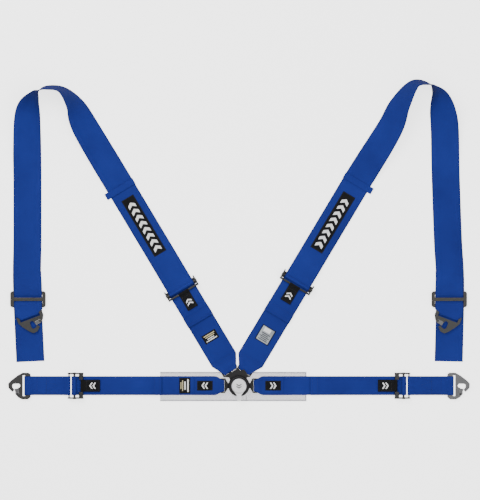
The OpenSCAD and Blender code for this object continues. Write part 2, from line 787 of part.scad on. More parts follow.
lower_strap(RIGHT);  // right_lower_strap
shoulder_adjuster(RIGHT);  // right_shoulder_adjuster
shoulder_lock_bar(RIGHT);  // right_shoulder_lock_bar
shoulder_pull_tab(RIGHT);  // right_shoulder_pull_tab
front_run(RIGHT);  // right_front_run
rear_run(RIGHT);  // right_rear_run
label(RIGHT);  // right_label
keeper(RIGHT);  // right_keeper
slide(RIGHT);  // right_slide
slide_loop(RIGHT);  // right_slide_loop
shoulder_hook_wrap(RIGHT);  // right_shoulder_hook_wrap
shoulder_hook(RIGHT);  // right_shoulder_hook
shoulder_gate(RIGHT);  // right_shoulder_gate
shoulder_gate_rivet(RIGHT);  // right_shoulder_gate_rivet
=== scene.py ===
import bpy
import bmesh
import json
import math
from mathutils import Matrix, Vector

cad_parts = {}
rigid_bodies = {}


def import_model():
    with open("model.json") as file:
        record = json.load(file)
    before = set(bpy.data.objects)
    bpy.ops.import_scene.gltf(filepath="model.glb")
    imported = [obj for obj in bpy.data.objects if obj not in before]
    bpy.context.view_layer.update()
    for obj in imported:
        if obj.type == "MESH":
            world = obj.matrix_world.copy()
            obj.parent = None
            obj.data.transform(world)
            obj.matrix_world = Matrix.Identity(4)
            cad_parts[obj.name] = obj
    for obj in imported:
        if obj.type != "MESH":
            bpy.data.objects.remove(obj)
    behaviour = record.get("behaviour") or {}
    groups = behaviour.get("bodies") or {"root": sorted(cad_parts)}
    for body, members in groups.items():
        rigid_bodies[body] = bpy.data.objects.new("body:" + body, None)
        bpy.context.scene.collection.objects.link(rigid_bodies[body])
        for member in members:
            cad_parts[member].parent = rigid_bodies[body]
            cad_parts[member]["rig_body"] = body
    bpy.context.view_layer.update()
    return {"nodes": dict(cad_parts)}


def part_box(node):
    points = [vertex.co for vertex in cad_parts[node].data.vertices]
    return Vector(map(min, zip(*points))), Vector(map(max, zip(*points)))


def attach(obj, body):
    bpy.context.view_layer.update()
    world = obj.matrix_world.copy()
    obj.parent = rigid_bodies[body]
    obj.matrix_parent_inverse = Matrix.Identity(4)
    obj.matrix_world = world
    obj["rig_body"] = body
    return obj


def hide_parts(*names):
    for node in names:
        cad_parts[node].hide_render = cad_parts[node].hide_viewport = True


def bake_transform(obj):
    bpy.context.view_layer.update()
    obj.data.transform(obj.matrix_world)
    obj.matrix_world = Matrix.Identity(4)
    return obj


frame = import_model()

# ---- driving sizes, in metres ----

SIDES = ("left", "right")
SHOULDER_ANGLE = math.radians(59.1)
HOOK_SKEW = math.radians(20.7)
# Webbing: its thickness, and the height of its middle where it lies flat
WEB_T = 0.0018
WEB_MID = 0.0021
FLAT_TOP = WEB_MID + WEB_T / 2
DOUBLED_TOP = WEB_MID + 1.5 * WEB_T
# Height of the middle of the upper shoulder strap: along its tail, and through its adjuster
TAIL_Z = 0.0046
LEVEL_Z = 0.0073
# Radii of the webbing's middle where it folds round the lock bars, the tongues' bars and the hooks' bars
FOLD_R = 0.0043
TONGUE_FOLD_R = 0.0027
HOOK_FOLD_R = 0.0032
STITCH_PITCH = 0.0042
STITCH_LENGTH = 0.0031
STITCH_R = 0.00042
# A print starts this far above the underside of its patch, and has this thickness
PRINT_LIFT = 0.0006
PRINT_T = 0.0004
UP = Vector((0, 0, 1))

# The shoulder straps behind the keepers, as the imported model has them: x, y and roll in degrees
REAR_RUN = {
    "left": [(0.412, 0.693, 20), (0.440, 0.756, 52), (0.475, 0.796, 74), (0.515, 0.802, 78),
             (0.537, 0.795, 85), (0.549, 0.782, 104), (0.568, 0.735, 147), (0.571, 0.647, 167),
             (0.571, 0.555, 180), (0.571, 0.393, 180), (0.572, 0.271, 180), (0.563, 0.065, 180)],
    "right": [(0.404, 0.690, 24), (0.432, 0.756, 45), (0.470, 0.811, 69), (0.510, 0.812, 82),
              (0.526, 0.799, 98), (0.539, 0.775, 126), (0.549, 0.735, 154), (0.555, 0.687, 170),
              (0.558, 0.563, 180), (0.564, 0.393, 180), (0.570, 0.271, 180), (0.566, 0.065, 180)],
}

# ---- frames and measures ----


def mirrored(side):
    """The left side is the right side mirrored in X."""
    return Matrix.Scale(-1, 4, Vector((1, 0, 0))) if side == "left" else Matrix.Identity(4)


def strap_frame(side, kind):
    """x runs along the strap away from the buckle."""
    turn = SHOULDER_ANGLE if kind == "shoulder" else 0
    return mirrored(side) @ Matrix.Rotation(turn, 4, "Z")


def span(node, matrix):
    """Lowest and highest corner of a CAD node in a local frame."""
    back = matrix.inverted()
    points = [back @ v.co for v in frame["nodes"][node].data.vertices]
    low = Vector([min(p[i] for p in points) for i in range(3)])
    high = Vector([max(p[i] for p in points) for i in range(3)])
    return low, high


def middle(node, matrix):
    low, high = span(node, matrix)
    return (low + high) / 2


def smoothstep(t):
    t = min(1, max(0, t))
    return t * t * (3 - 2 * t)


# ---- paths ----


def arc(cx, cz, radius, start, end, count=10):
    """Points on an arc in side view, from one angle to another, in degrees."""
    angles = [math.radians(start + (end - start) * i / count) for i in range(count + 1)]
    return [(cx + radius * math.cos(a), cz + radius * math.sin(a)) for a in angles]


def eased(path, rounds=2):
    """Rounds the corners of a polyline by cutting them."""
    for _ in range(rounds):
        cut = [path[0]]
        for p, q in zip(path, path[1:]):
            p, q = Vector(p), Vector(q)
            cut += [p.lerp(q, 0.25), p.lerp(q, 0.75)]
        path = cut + [path[-1]]
    return [Vector(p) for p in path]


def resampled(path, step):
    """The same polyline with no segment longer than step."""
    points = [Vector(path[0])]
    for q in path[1:]:
        p, q = points[-1], Vector(q)
        count = max(1, math.ceil((q - p).length / step))
        points += [p.lerp(q, (i + 1) / count) for i in range(count)]
    return points


def spline(stations, steps):
    """Catmull-Rom course through a list of tuples."""
    out = []
    last = len(stations) - 1
    for i in range(last):
        a, b, c, d = (Vector(stations[min(last, max(0, k))]) for k in (i - 1, i, i + 1, i + 2))
        for k in range(steps):
            t = k / steps
            out.append(0.5 * (2 * b + (c - a) * t + (2 * a - 5 * b + 4 * c - d) * t * t
                              + (3 * b - a - 3 * c + d) * t ** 3))
    return out + [Vector(stations[-1])]


# ---- mesh builders ----


def new_object(name, verts, faces, material, weave=None):
    mesh = bpy.data.meshes.new(name)
    mesh.from_pydata([tuple(v) for v in verts], [], faces)
    work = bmesh.new()
    work.from_mesh(mesh)
    bmesh.ops.recalc_face_normals(work, faces=work.faces)
    work.to_mesh(mesh)
    work.free()
    if weave:
        layer = mesh.attributes.new("weave", "FLOAT_VECTOR", "POINT")
        layer.data.foreach_set("vector", [c for w in weave for c in w])
    mesh.shade_smooth()
    mesh.set_sharp_from_angle(angle=math.radians(48))
    mesh.materials.append(material)
    obj = bpy.data.objects.new(name, mesh)
    bpy.context.scene.collection.objects.link(obj)
    return obj


def section(half, thick):
    """Closed cross-section of webbing as (across, up) points, with round, slightly thicker selvedges."""
    columns = max(4, round(half / 0.005))
    inner = half - 0.0009
    top = []
    for i in range(columns + 1):
        x = -inner + 2 * inner * i / columns
        bead = 1.0 + 0.07 * (abs(x) > half - 0.004)
        top.append((x, thick / 2 * bead))
    right = [(half - 0.0002, thick * 0.3), (half, 0), (half - 0.0002, -thick * 0.3)]
    bottom = [(x, -y) for x, y in reversed(top)]
    left = [(-x, y) for x, y in reversed(right)]
    return top + right + bottom + left


def ribbon(name, centres, acrosses, halves, material, thick=WEB_T):
    """Webbing swept along its centreline. Each station has a centre, a direction across and a half width."""
    verts, weave, faces = [], [], []
    run = 0
    widest = max(halves)
    shape = section(widest, thick)
    size = len(shape)
    for i, (centre, across, half) in enumerate(zip(centres, acrosses, halves)):
        ahead = centres[min(i + 1, len(centres) - 1)] - centres[max(i - 1, 0)]
        normal = across.cross(ahead).normalized()
        run += (centre - centres[i - 1]).length if i else 0
        for x, z in shape:
            verts.append(centre + across * (x * half / widest) + normal * z)
            weave.append((x * half / widest, run, abs(x) / widest))
    for i in range(len(centres) - 1):
        for k in range(size):
            a, b = i * size + k, i * size + (k + 1) % size
            faces.append((a, b, b + size, a + size))
    faces.append(tuple(range(size)))
    faces.append(tuple(range(len(verts) - size, len(verts))))
    return new_object(name, verts, faces, material, weave)


def band(name, matrix, path, half, material, y=0.0, thick=WEB_T, step=0.006):
    """Webbing whose centreline is a side view (x, z) in a local frame. half and y may follow x."""
    path = resampled(path, step)
    half_at = half if callable(half) else lambda x: half
    y_at = y if callable(y) else lambda x: y
    centres = [matrix @ Vector((p[0], y_at(p[0]), p[1])) for p in path]
    across = (matrix.to_3x3() @ Vector((0, 1, 0))).normalized()
    return ribbon(name, centres, [across] * len(path), [half_at(p[0]) for p in path], material, thick)


def stitches(name, matrix, rows, material):
    """Rows of thread in a local frame. Each row is a pair of points, and each stitch a short bowed rod."""
    verts, faces = [], []
    for start, end in rows:
        start, end = Vector(start), Vector(end)
        along = end - start
        count = max(1, int(along.length / STITCH_PITCH))
        along.normalize()
        side = along.cross(UP).normalized()
        pitch = (end - start).length / count
        for i in range(count):
            centre = start + along * pitch * (i + 0.5)
            first = len(verts)
            for part, lift, grow in ((-0.5, -1.1, 0.55), (-0.3, 0.1, 1), (0.3, 0.1, 1), (0.5, -1.1, 0.55)):
                ring = centre + along * STITCH_LENGTH * part + UP * STITCH_R * lift
                for k in range(5):
                    a = math.tau * k / 5
                    verts.append(matrix @ (ring + STITCH_R * grow * (side * math.cos(a) + UP * math.sin(a))))
            for j in range(3):
                for k in range(5):
                    a, b = first + 5 * j + k, first + 5 * j + (k + 1) % 5
                    faces.append((a, b, b + 5, a + 5))
            faces.append(tuple(first + k for k in range(5)))
            faces.append(tuple(first + 15 + k for k in range(5)))
    return new_object(name, verts, faces, material)


def frame_rows(x0, x1, y0, y1, z):
    """The four rows of a sewn rectangle."""
    return [((x0, y0, z), (x1, y0, z)), ((x1, y0, z), (x1, y1, z)),
            ((x1, y1, z), (x0, y1, z)), ((x0, y1, z), (x0, y0, z))]


def zigzag_rows(x0, x1, y0, y1, z, turns):
    """A sewn rectangle with a zigzag across the strap."""
    rows = frame_rows(x0, x1, y0, y1, z)
    for i in range(turns):
        a, b = y0 + (y1 - y0) * i / turns, y0 + (y1 - y0) * (i + 1) / turns
        ends = (x0, x1) if i % 2 == 0 else (x1, x0)
        rows.append(((ends[0], a, z), (ends[1], b, z)))
    return rows


def plates(name, matrix, outlines, z, thick, material, soften=0.00025):
    """Flat raised shapes from outlines in a local frame, with softened upper edges."""
    verts, faces = [], []
    for outline in outlines:
        count = len(outline)
        cx = sum(p[0] for p in outline) / count
        cy = sum(p[1] for p in outline) / count
        first = len(verts)
        for level, inset in ((z, 0), (z + thick * 0.6, 0), (z + thick, soften)):
            for x, y in outline:
                away = math.hypot(x - cx, y - cy)
                keep = 1 - inset / away if away > inset else 1
                verts.append(matrix @ Vector((cx + (x - cx) * keep, cy + (y - cy) * keep, level)))
        for j in range(2):
            for k in range(count):
                a, b = first + j * count + k, first + j * count + (k + 1) % count
                faces.append((a, b, b + count, a + count))
        faces.append(tuple(first + k for k in range(count)))
        faces.append(tuple(first + 2 * count + k for k in range(count)))
    return new_object(name, verts, faces, material)


def rectangle(x0, x1, y0, y1, radius=0.0, count=4):
    """Outline of a rectangle, with round corners."""
    if radius == 0:
        return [(x0, y0), (x1, y0), (x1, y1), (x0, y1)]
    spots = ((x1 - radius, y0 + radius, -90), (x1 - radius, y1 - radius, 0),
             (x0 + radius, y1 - radius, 90), (x0 + radius, y0 + radius, 180))
    return [p for cx, cy, a in spots for p in arc(cx, cy, radius, a, a + 90, count)]


def chevron(x, y, length, half, depth):
    """A chevron that points along +x."""
    return [[(x, y - half), (x + length, y - half), (x + length + depth, y), (x + depth, y)],
            [(x + depth, y), (x + length + depth, y), (x + length, y + half), (x, y + half)]]


# ---- materials ----


def add(mat, kind, settings=None, **inputs):
    """A shader node. Inputs are named, with _ for a space, or numbered, as i0. A socket is linked."""
    made = mat.node_tree.nodes.new(kind)
    for key, value in (settings or {}).items():
        setattr(made, key, value)
    for key, value in inputs.items():
        numbered = key[0] == "i" and key[1:].isdigit()
        socket = made.inputs[int(key[1:]) if numbered else key.replace("_", " ")]
        if isinstance(value, bpy.types.NodeSocket):
            mat.node_tree.links.new(value, socket)
        else:
            socket.default_value = value
    return made


def calc(mat, operation, a, b=0.0):
    return add(mat, "ShaderNodeMath", {"operation": operation}, i0=a, i1=b).outputs[0]


def blend_colours(mat, factor, a, b):
    mix = add(mat, "ShaderNodeMix", {"data_type": "RGBA"})
    for socket, value in ((mix.inputs[0], factor), (mix.inputs[6], a), (mix.inputs[7], b)):
        if isinstance(value, bpy.types.NodeSocket):
            mat.node_tree.links.new(value, socket)
        else:
            socket.default_value = value if isinstance(value, float) else (*value, 1)
    return mix.outputs[2]


def ramp(mat, factor, low, high):
    """0 below low, 1 above high."""
    made = add(mat, "ShaderNodeMapRange", None, Value=factor, From_Min=low, From_Max=high)
    return made.outputs[0]


def noise(mat, scale, detail=3.0, stretch=(1, 1, 1)):
    where = add(mat, "ShaderNodeTexCoord").outputs["Object"]
    where = add(mat, "ShaderNodeMapping", None, Vector=where, Scale=stretch).outputs[0]
    return add(mat, "ShaderNodeTexNoise", None, Vector=where, Scale=scale, Detail=detail).outputs[0]


def new_material(name, roughness, **constants):
    mat = bpy.data.materials.new(name)
    mat.use_nodes = True
    shader = mat.node_tree.nodes["Principled BSDF"]
    shader.inputs["Roughness"].default_value = roughness
    for key, value in constants.items():
        shader.inputs[key.replace("_", " ")].default_value = value
    return mat, shader


def set_bump(mat, shader, height, distance, strength=1.0):
    made = add(mat, "ShaderNodeBump", None, Height=height, Distance=distance, Strength=strength)
    mat.node_tree.links.new(made.outputs[0], shader.inputs["Normal"])


def woven(name, deep, light, rib=0.0013, roughness=0.8, sheen=0.03):
    """Webbing: ribs along the strap with a diagonal twill, darker selvedges, and slow shade changes."""
    mat, shader = new_material(name, roughness, Sheen_Weight=sheen, Sheen_Roughness=0.45,
                               Specular_IOR_Level=0.12)
    spot = add(mat, "ShaderNodeAttribute", {"attribute_name": "weave"}).outputs["Vector"]
    x, y, edge = add(mat, "ShaderNodeSeparateXYZ", None, Vector=spot).outputs
    turns_x = calc(mat, "MULTIPLY", x, math.pi / rib)
    turns_y = calc(mat, "MULTIPLY", y, math.pi / (1.7 * rib))
    ribs = calc(mat, "ABSOLUTE", calc(mat, "SINE", turns_x))
    slant = calc(mat, "ADD", turns_y, calc(mat, "MULTIPLY", turns_x, 0.5))
    twill = calc(mat, "ABSOLUTE", calc(mat, "SINE", slant))
    height = calc(mat, "ADD", calc(mat, "MULTIPLY", ribs, 0.55), calc(mat, "MULTIPLY", twill, 0.45))
    slow = noise(mat, 9.0, 2.0)
    fine = noise(mat, 900.0, 2.0)
    shade = calc(mat, "ADD", calc(mat, "MULTIPLY", height, 0.5), calc(mat, "MULTIPLY", slow, 0.55))
    shade = calc(mat, "ADD", shade, calc(mat, "MULTIPLY", fine, 0.22))
    rim = ramp(mat, edge, 0.9, 1.0)
    shade = calc(mat, "SUBTRACT", shade, calc(mat, "MULTIPLY", rim, 0.35))
    colour = blend_colours(mat, ramp(mat, shade, 0.25, 1.05), deep, light)
    mat.node_tree.links.new(colour, shader.inputs["Base Color"])
    set_bump(mat, shader, height, 0.00035, 0.8)
    return mat


def thread(name, deep, light):
    """Sewing thread: a fine twist."""
    mat, shader = new_material(name, 0.6, Sheen_Weight=0.1, Specular_IOR_Level=0.15)
    twist = noise(mat, 1600.0, 2.0, (1, 3, 1))
    mat.node_tree.links.new(blend_colours(mat, twist, deep, light), shader.inputs["Base Color"])
    set_bump(mat, shader, twist, 0.00012)
    return mat


def moulded(name, colour, worn, roughness=0.46):
    """Moulded plastic: a fine grain and slow changes of polish."""
    mat, shader = new_material(name, roughness, Specular_IOR_Level=0.22)
    grain = noise(mat, 1300.0, 2.0)
    slow = noise(mat, 25.0)
    shade = blend_colours(mat, ramp(mat, slow, 0.3, 0.9), colour, worn)
    mat.node_tree.links.new(shade, shader.inputs["Base Color"])
    rough = calc(mat, "ADD", calc(mat, "MULTIPLY", slow, 0.16), roughness - 0.08)
    mat.node_tree.links.new(rough, shader.inputs["Roughness"])
    set_bump(mat, shader, grain, 0.00005, 0.5)
    return mat


def metal(name, coat, bare, metallic=1.0, roughness=0.34):
    """Plated or painted metal: fine brushing, a cloudy sheen, and small rubbed spots."""
    mat, shader = new_material(name, roughness, Metallic=metallic)
    brushed = noise(mat, 260.0, 4.0, (1, 9, 1))
    cloudy = noise(mat, 40.0)
    rubbed = calc(mat, "MULTIPLY", ramp(mat, noise(mat, 420.0), 0.62, 0.8), ramp(mat, cloudy, 0.45, 0.7))
    body = blend_colours(mat, cloudy, tuple(0.78 * c for c in coat), tuple(min(1.0, 1.2 * c) for c in coat))
    mat.node_tree.links.new(blend_colours(mat, rubbed, body, bare), shader.inputs["Base Color"])
    rough = calc(mat, "ADD", calc(mat, "MULTIPLY", brushed, 0.22), roughness - 0.1)
    mat.node_tree.links.new(rough, shader.inputs["Roughness"])
    set_bump(mat, shader, brushed, 0.00004, 0.35)
    return mat


def edge_highlight_and_wear(name, coat, bare, metallic, roughness=0.3):
    """The rounded edges of a part, in a lighter coat than the part itself, which paints a highlight along
    them, and rubbed through to a still lighter colour in patches.
    """
    mat, shader = new_material(name, roughness, Metallic=metallic)
    # coat is lighter than the part's own material: a painted highlight on every bevel. The patches are
    # lighter still.
    patches = ramp(mat, noise(mat, 150.0, 4.0), 0.35, 0.62)
    mat.node_tree.links.new(blend_colours(mat, patches, coat, bare), shader.inputs["Base Color"])
    set_bump(mat, shader, noise(mat, 500.0), 0.00004, 0.4)
    return mat


def clear_film(name):
    """Thin clear plastic, a little cloudy, with faint creases."""
    mat, shader = new_material(name, 0.22, IOR=1.46, Alpha=0.42)
    cloud = noise(mat, 14.0, 4.0)
    colour = blend_colours(mat, cloud, (0.28, 0.27, 0.31), (0.47, 0.46, 0.51))
    mat.node_tree.links.new(colour, shader.inputs["Base Color"])
    set_bump(mat, shader, noise(mat, 30.0, 3.0, (1, 4, 1)), 0.0006, 0.5)
    return mat


MATERIALS = {
    "blue": woven("blue_webbing", (0.0038, 0.0088, 0.088), (0.0125, 0.028, 0.225)),
    "blue_thread": thread("blue_thread", (0.003, 0.006, 0.055), (0.009, 0.02, 0.16)),
    "black": woven("black_fabric", (0.0012, 0.0012, 0.0014), (0.008, 0.008, 0.009), rib=0.0009, sheen=0.05),
    "black_thread": thread("black_thread", (0.006, 0.006, 0.007), (0.04, 0.04, 0.044)),
    "white": thread("white_thread", (0.6, 0.6, 0.6), (0.88, 0.88, 0.88)),
    "straw": thread("straw_thread", (0.42, 0.36, 0.2), (0.62, 0.55, 0.33)),
    "silver_print": moulded("silver_film", (0.22, 0.24, 0.26), (0.4, 0.43, 0.46), 0.35),
    "plastic": moulded("black_plastic", (0.002, 0.002, 0.0022), (0.008, 0.008, 0.008)),
    # Each _edge material is a lighter copy of the one above it, for the bevels: a painted highlight along the
    # edges, with lighter rubbed patches.
    "plastic_edge": edge_highlight_and_wear("black_plastic_edge", (0.006, 0.006, 0.006), (0.05, 0.05, 0.05), 0.0),
    "black_steel": metal("black_steel", (0.005, 0.005, 0.005), (0.05, 0.05, 0.045), 0.3, 0.42),
    "black_steel_edge": edge_highlight_and_wear("black_steel_edge", (0.03, 0.03, 0.027), (0.5, 0.47, 0.36), 0.6),
    "bar_steel": metal("bar_steel", (0.025, 0.025, 0.025), (0.1, 0.1, 0.1), 0.5, 0.38),
    "bar_steel_edge": edge_highlight_and_wear("bar_steel_edge", (0.08, 0.08, 0.08), (0.5, 0.5, 0.48), 0.7),
    "bronze": metal("dark_bronze", (0.018, 0.016, 0.013), (0.06, 0.055, 0.047), 0.3, 0.46),
    "bronze_edge": edge_highlight_and_wear("dark_bronze_edge", (0.028, 0.026, 0.022), (0.09, 0.084, 0.074), 0.45),
    "hook": metal("hook_steel", (0.015, 0.0145, 0.014), (0.08, 0.077, 0.074), 0.3, 0.42),
    "hook_edge": edge_highlight_and_wear("hook_steel_edge", (0.03, 0.029, 0.028), (0.3, 0.29, 0.28), 0.6),
    "hook_light": metal("hook_light_steel", (0.075, 0.075, 0.078), (0.22, 0.22, 0.22), 0.4, 0.38),
    "hook_light_edge": edge_highlight_and_wear("hook_light_steel_edge", (0.16, 0.16, 0.165), (0.5, 0.5, 0.5), 0.6),
    "rivet": metal("rivet_steel", (0.01, 0.01, 0.01), (0.08, 0.08, 0.08), 0.5, 0.35),
    "rivet_edge": edge_highlight_and_wear("rivet_steel_edge", (0.03, 0.03, 0.03), (0.2, 0.2, 0.2), 0.6),
    "inner_steel": metal("inner_steel", (0.45, 0.45, 0.46), (0.6, 0.6, 0.6)),
    "silver": metal("silver_handle", (0.66, 0.66, 0.67), (0.8, 0.8, 0.8), 0.45, 0.36),
    "silver_edge": edge_highlight_and_wear("silver_handle_edge", (0.72, 0.72, 0.73), (0.9, 0.9, 0.9), 0.6),
    "dark_inlay": moulded("dark_inlay", (0.006, 0.006, 0.007), (0.03, 0.03, 0.03)),
    "film": clear_film("clear_film"),
}


def fit(piece, body=None, nodes=()):
    """Hides the nodes that the piece stands for and fixes it to the body it rides on."""
    if nodes:
        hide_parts(*nodes)
    if body:
        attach(piece, body)
    return piece


def sew(name, matrix, rows, look, body):
    """Stitches on the body that carries them."""
    return fit(stitches(name, matrix, rows, MATERIALS[look]), body)


def raise_marks(name, matrix, outlines, z, thick, look, body):
    """Raised marks on the body that carries them."""
    return fit(plates(name, matrix, outlines, z, thick, MATERIALS[look]), body)


# ---- hard pieces: bevelled copies of the CAD nodes ----


def bevelled(node, look, width, angle=32):
    """A copy of a CAD node with rounded edges, which replaces it."""
    cad = frame["nodes"][node]
    mesh = cad.data.copy()
    mesh.name = node + "_shell"
    work = bmesh.new()
    work.from_mesh(mesh)
    bmesh.ops.remove_doubles(work, verts=work.verts, dist=1e-6)
    bmesh.ops.dissolve_limit(work, angle_limit=math.radians(1), verts=work.verts, edges=work.edges)
    work.to_mesh(mesh)
    work.free()
    piece = bpy.data.objects.new(node + "_shell", mesh)
    bpy.context.scene.collection.objects.link(piece)
    mesh.materials.clear()
    mesh.materials.append(MATERIALS[look])
    # The bevel's faces take the lighter _edge material: a painted highlight along every rounded edge.
    mesh.materials.append(MATERIALS[look + "_edge"])
    mesh.polygons.foreach_set("material_index", [0] * len(mesh.polygons))
    bevel = piece.modifiers.new("bevel", "BEVEL")
    bevel.material = 1
    bevel.width = width
    bevel.segments = 3
    bevel.limit_method = "ANGLE"
    bevel.angle_limit = math.radians(angle)
    bevel.use_clamp_overlap = True
    mesh.shade_smooth()
    even = piece.modifiers.new("even", "WEIGHTED_NORMAL")
    even.weight = 100
    return fit(piece, cad["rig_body"], [node])


def dress(node, look):
    """Gives a CAD node that stays its material."""
    obj = frame["nodes"][node]
    obj.data.materials.clear()
    obj.data.materials.append(MATERIALS[look])


def hard_pieces():
    for node in ("buckle_base", "housing_screws", "latch_plate", "cam_rotor"):
        dress(node, "plastic" if node == "buckle_base" else "inner_steel")
    bevelled("buckle_housing", "plastic", 0.0005)
    bevelled("handle", "silver", 0.0005)
    for side in SIDES:
        for kind in ("lap", "shoulder"):
            bevelled(f"{side}_{kind}_tongue", "plastic", 0.0005)
            bevelled(f"{side}_{kind}_adjuster", "black_steel", 0.0004)
            bevelled(f"{side}_{kind}_lock_bar", "bar_steel", 0.0003)
            plain = "hook_light" if (side, kind) == ("right", "lap") else "hook"
            bevelled(f"{side}_{kind}_hook", plain, 0.0007)
            bevelled(f"{side}_{kind}_gate", "hook_light", 0.0003)
            bevelled(f"{side}_{kind}_gate_rivet", "rivet", 0.0003)
        bevelled(f"{side}_slide", "bronze", 0.0009)


def latch_springs():
    """The springs on the latch plate, as a steel copy of the CAD node's coils."""
    node = "latch_springs"
    piece = bpy.data.objects.new("latch_spring_coils", frame["nodes"][node].data.copy())
    bpy.context.scene.collection.objects.link(piece)
    piece.data.materials.clear()
    piece.data.materials.append(MATERIALS["inner_steel"])
    fit(piece, None, [node])
    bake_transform(piece)


def handle_mark():
    """A plain double chevron let into the handle, pointing at the lever."""
    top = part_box("handle")[1].z
    down = Matrix.Rotation(math.radians(-90), 4, "Z")
    length, half, depth = 0.003, 0.0068, 0.0042
    marks = [outline for x in (-0.0066, -0.0008) for outline in chevron(x, 0, length, half, depth)]
    thick, soften = 0.0004, 0.0001
    piece = plates("handle_mark", down, marks, top - thick / 2, thick, MATERIALS["dark_inlay"], soften)
    fit(piece, "rotary_handle")


def backing_film():
    """Clear film under the buckle with a folded edge, and a dark strip for one crease: painted shade along
    the crease.
    """
    low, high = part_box("backing_sheet")
    columns, rows = 60, 12
    thick, lift, ripple = 0.0005, 0.00002, 0.0005
    verts, faces = [], []
    for level in (0, 1):
        for i in range(columns + 1):
            for j in range(rows + 1):
                x = low.x + (high.x - low.x) * i / columns
                y = low.y + (high.y - low.y) * j / rows
                edge = smoothstep((abs(j / rows - 0.5) - 0.36) / 0.14)
                wave = ripple * edge * (1 + math.sin(x * 47 + 2.2 * math.sin(y * 60)))
                verts.append((x, y, lift + wave + level * thick))
    size = (columns + 1) * (rows + 1)
    for i in range(columns):
        for j in range(rows):
            a = i * (rows + 1) + j
            quad = (a, a + 1, a + rows + 2, a + rows + 1)
            faces += [quad, tuple(reversed([k + size for k in quad]))]
    rim = [i * (rows + 1) for i in range(columns + 1)]
    rim += [columns * (rows + 1) + j for j in range(1, rows + 1)]
    rim += [i * (rows + 1) + rows for i in range(columns - 1, -1, -1)]
    rim += [j for j in range(rows - 1, 0, -1)]
    for a, b in zip(rim, rim[1:] + rim[:1]):
        faces.append((a, b, b + size, a + size))
    film = new_object("backing_film", verts, faces, MATERIALS["film"])
    fit(film, "buckle", ["backing_sheet"])
    hem, hem_z, crease_z, fold_t, soften = 0.0035, 0.0017, 0.0021, 0.0003, 0.0001
    edges = [rectangle(low.x, high.x, low.y, low.y + hem), rectangle(low.x, high.x, high.y - hem, high.y),
             rectangle(high.x - hem, high.x, low.y + hem, high.y - hem)]
    flat = Matrix.Identity(4)
    turned = plates("film_hem", flat, edges, hem_z, fold_t, MATERIALS["film"], soften)
    fit(turned, "buckle")
    # The crease is a dark strip laid on the film: painted shade where the film folds.
    crease_x, crease_w, crease_length = 0.019, 0.001, 0.015
    line = [rectangle(crease_x, crease_x + crease_w, low.y, low.y + crease_length)]
    crease_shade = plates("film_crease_shade", flat, line, crease_z, fold_t, MATERIALS["dark_inlay"], soften)
    fit(crease_shade, "buckle")


# ---- straps ----


def sewn_end(side, kind, body):
    """Strap folded round its tongue's bar, sewn to itself, and running to its adjuster."""
    node = f"{side}_lower_strap" if kind == "shoulder" else f"{side}_lap_strap"
    matrix = strap_frame(side, kind)
    low, high = span(node, matrix)
    bar_x = low.x + TONGUE_FOLD_R + WEB_T / 2
    bar_z = 0.0048
    inset = 0.003
    neck = {"lap": 0.0155, "shoulder": 0.0195 if side == "left" else 0.0175}[kind]
    half = (high.y - low.y) / 2
    wide_y = (high.y + low.y) / 2
    neck_y = 0.008 if (kind, side) == ("shoulder", "right") else 0.0
    neck_x = low.x + 0.004
    full_x = {"lap": 0.062, "shoulder": low.x + (0.038 if side == "left" else 0.037)}[kind]
    sewn_x = 0.120 if kind == "lap" else full_x + 0.006

    def growth(x):
        return min(1, max(0, (x - neck_x) / (full_x - neck_x)))

    def half_at(x):
        return neck + (half - neck) * growth(x)

    def y_at(x):
        return neck_y + (wide_y - neck_y) * growth(x)

    over = bar_z + TONGUE_FOLD_R
    down_x = bar_x + 0.021
    back = arc(bar_x, bar_z, TONGUE_FOLD_R, 270, 90, 12)
    top = eased([(bar_x, over), (bar_x + 0.009, over), (down_x, WEB_MID + WEB_T), (sewn_x, WEB_MID + WEB_T)])
    if kind == "shoulder":
        turn_r = 0.00155
        turn_x = high.x - turn_r - WEB_T / 2
        turn_z = WEB_MID + turn_r
        far = [(turn_x - 0.0155, turn_z + turn_r)] + arc(turn_x, turn_z, turn_r, 90, -90, 8)
        far += [(turn_x - 0.02, WEB_MID)]
    else:
        far = [(high.x, WEB_MID)]
    path = far + back + top[1:]
    strap = band(node + "_webbing", matrix, path, half_at, MATERIALS["blue"], y_at)
    fit(strap, None, [node])
    if kind == "lap":
        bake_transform(strap)
    else:
        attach(strap, body)
    margin = 0.004
    x0, x1 = down_x + inset, sewn_x - inset
    if kind == "shoulder":
        rows = []
        for x in (x0, (x0 + x1) / 2, x1):
            reach = half_at(x) - margin
            rows.append(((x, y_at(x) - reach, DOUBLED_TOP), (x, y_at(x) + reach, DOUBLED_TOP)))
    else:
        edge = half - margin
        rows = frame_rows(x0, x1, -edge, edge, DOUBLED_TOP)
    sew(node + "_stitching", matrix, rows, "blue_thread", body)


